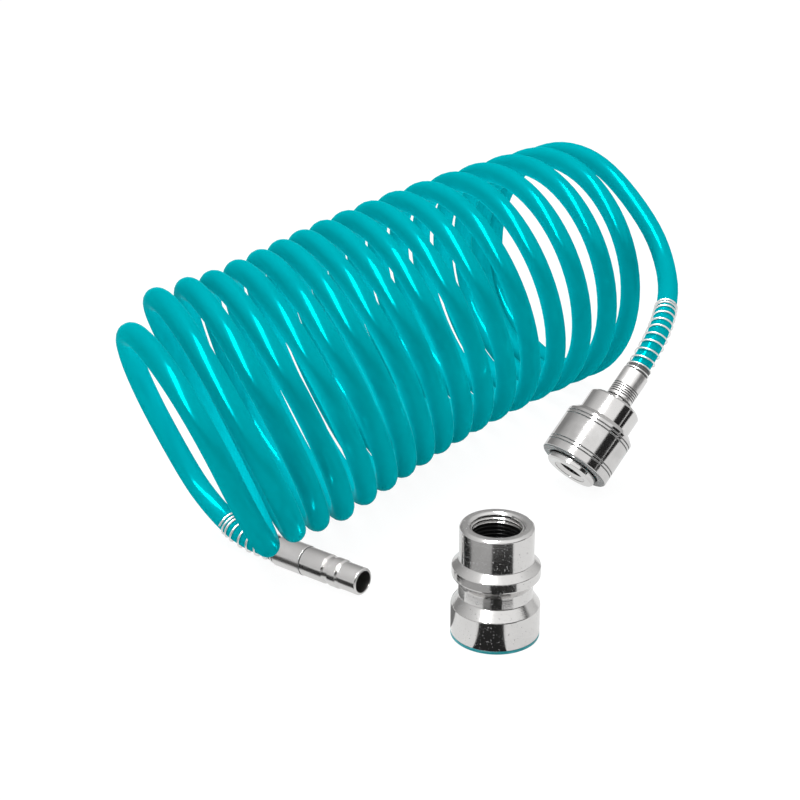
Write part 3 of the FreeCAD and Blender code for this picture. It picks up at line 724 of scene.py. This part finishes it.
# The room that the metal mirrors is white behind the camera, grey behind the
# coil and dark along the horizon.
world = bpy.data.worlds.new("studio_world")
scene.world = world
world.use_nodes = True
world.node_tree.nodes.clear()
maker = Link(world.node_tree)
seen = maker.make("ShaderNodeLightPath", {}, {}, "Is Camera Ray")
mirrored = maker.make("ShaderNodeLightPath", {}, {}, "Is Glossy Ray")
passing = maker.make("ShaderNodeLightPath", {}, {}, "Is Transmission Ray")
heading = maker.make("ShaderNodeTexCoord", {}, {}, "Generated")
front = maker.make("ShaderNodeVectorMath", {"operation": "DOT_PRODUCT"}, {
    0: heading, 1: (-0.4, -0.75, 0.53)}, "Value")
height = maker.make("ShaderNodeSeparateXYZ", {}, {"Vector": heading}, "Z")
facing_front = front * 0.5 + 0.5
wall = maker.make("ShaderNodeValToRGB", {"stops": [
    (0.2, (0.3, 0.3, 0.3, 1)), (0.5, (0.66, 0.66, 0.66, 1)), (0.75, (0.76, 0.76, 0.76, 1)),
    (0.88, (1, 1, 1, 1))]}, {"Fac": facing_front})
above = maker.make("ShaderNodeMapRange", {}, {
    "Value": height, "From Min": 0.38, "From Max": 0.42})
beside = maker.make("ShaderNodeMapRange", {}, {
    "Value": facing_front, "From Min": 0.78, "From Max": 0.7})
lit = maker.math("MAXIMUM", above, beside)
horizon = lit.mixed((0.02, 0.02, 0.02, 1), (1, 1, 1, 1))
room = maker.make("ShaderNodeMix", {"data_type": "RGBA", "blend_type": "MULTIPLY"}, {
    0: 1.0, 6: wall, 7: horizon}, 2)
strength = 0.78 + 0.22 * (seen + passing).clamped()
white = maker.make("ShaderNodeBackground", {}, {"Color": (1, 1, 1, 1), "Strength": strength})
mirror_room = maker.make("ShaderNodeBackground", {}, {"Color": room, "Strength": 1.0})
both = maker.make("ShaderNodeMixShader", {}, {0: mirrored, 1: white, 2: mirror_room})
maker.make("ShaderNodeOutputWorld", {}, {"Surface": both})


# Dark cards lie on the floor, as a photographer lays them, to draw the dark
# bands on the plug, the coupler and the adapter.
def dark_card(name, corners, height, grey, fade=None):
    """A card that only mirror images show, with corners and height in mm. It can
    fade into the white floor: fade is a centre, and how far from it in mm the
    fading starts and ends."""
    mesh = bpy.data.meshes.new(name)
    places = [(x * MM, y * MM, height * MM) for x, y in corners]
    mesh.from_pydata(places, [], [range(len(corners))])
    card = bpy.data.objects.new(name, mesh)
    scene.collection.objects.link(card)
    card.visible_camera = False
    card.visible_diffuse = False
    card.visible_transmission = False
    card.visible_shadow = False
    material, maker = new_material(name)
    tone = (grey, grey, grey, 1)
    if fade:
        centre, starts, ends = fade
        place = maker.make("ShaderNodeTexCoord", {}, {}, "Object")
        away = maker.make("ShaderNodeVectorMath", {"operation": "DISTANCE"}, {
            0: place, 1: tuple(c * MM for c in centre)}, 1)
        faded = maker.make("ShaderNodeMapRange", {}, {
            "Value": away, "From Min": starts * MM, "From Max": ends * MM})
        tone = faded.mixed(tone, (1, 1, 1, 1))
    glow = maker.make("ShaderNodeEmission", {}, {"Color": tone, "Strength": 1.0})
    maker.make("ShaderNodeOutputMaterial", {}, {"Surface": glow})
    mesh.materials.append(material)


def sector(centre, near, far, start, end):
    """Corners of a ring sector round centre, between two angles in degrees."""
    steps = 12
    angles = [math.radians(start + (end - start) * i / steps) for i in range(steps + 1)]
    outer = [(centre.x + far * math.cos(a), centre.y + far * math.sin(a)) for a in angles]
    inner = [(centre.x + near * math.cos(a), centre.y + near * math.sin(a)) for a in angles]
    return outer + inner[::-1]


floor_fade = (adapter_foot, 88, 150)
dark_card("adapter_card_dark", sector(adapter_foot, 40, 150, 202, 262), 0.2, 0.02, floor_fade)
dark_card("adapter_card_foot", sector(adapter_foot, 14.5, 40, 182, 232), 0.2, 0.02)
dark_card("adapter_card_grey", sector(adapter_foot, 40, 150, 126, 202), 0.2, 0.4, floor_fade)
dark_card("adapter_card_side", sector(adapter_foot, 14.5, 40, 60, 118), 0.2, 0.2)
dark_card("plug_card", [(-140, -32), (-102, -32), (-102, 40), (-140, 40)], 0.3, 0.02)
dark_card("coupler_card", [(-50, -700), (300, -700), (160, -150), (20, -150)], 0.2, 0.02)


# A long slim lamp on the left draws the streaks on the hose and shows only in
# mirror images. A wide one above lights all, and five small ones lighten the
# inside of the coil.
def soft_box(name, place, size, watts):
    """A rectangular lamp at place, in metres, that faces the coil's middle."""
    bpy.ops.object.light_add(type="AREA", location=place)
    lamp = bpy.context.active_object
    lamp.name = name
    lamp.data.shape = "RECTANGLE"
    lamp.data.size, lamp.data.size_y = size
    lamp.data.energy = watts
    coil_middle = Vector((0, 0, 0.05))
    lamp.rotation_euler = (coil_middle - Vector(place)).to_track_quat("-Z", "Y").to_euler()
    return lamp


key = soft_box("key_soft_box", (-0.5, -0.1, 0.9), (0.12, 1.2), 36)
key.visible_diffuse = False
top = soft_box("top_soft_box", (0.1, 0.2, 0.9), (0.7, 0.7), 7)
top.visible_glossy = False
for i in range(5):
    place = Vector((-100 + 45 * i, 20 + 5 * i, 50)) * MM
    bpy.ops.object.light_add(type="POINT", location=place)
    inner = bpy.context.active_object
    inner.name = "inner_lamp_%d" % (i + 1)
    inner.data.energy = 0.045
    inner.data.shadow_soft_size = 0.02
    inner.visible_glossy = False
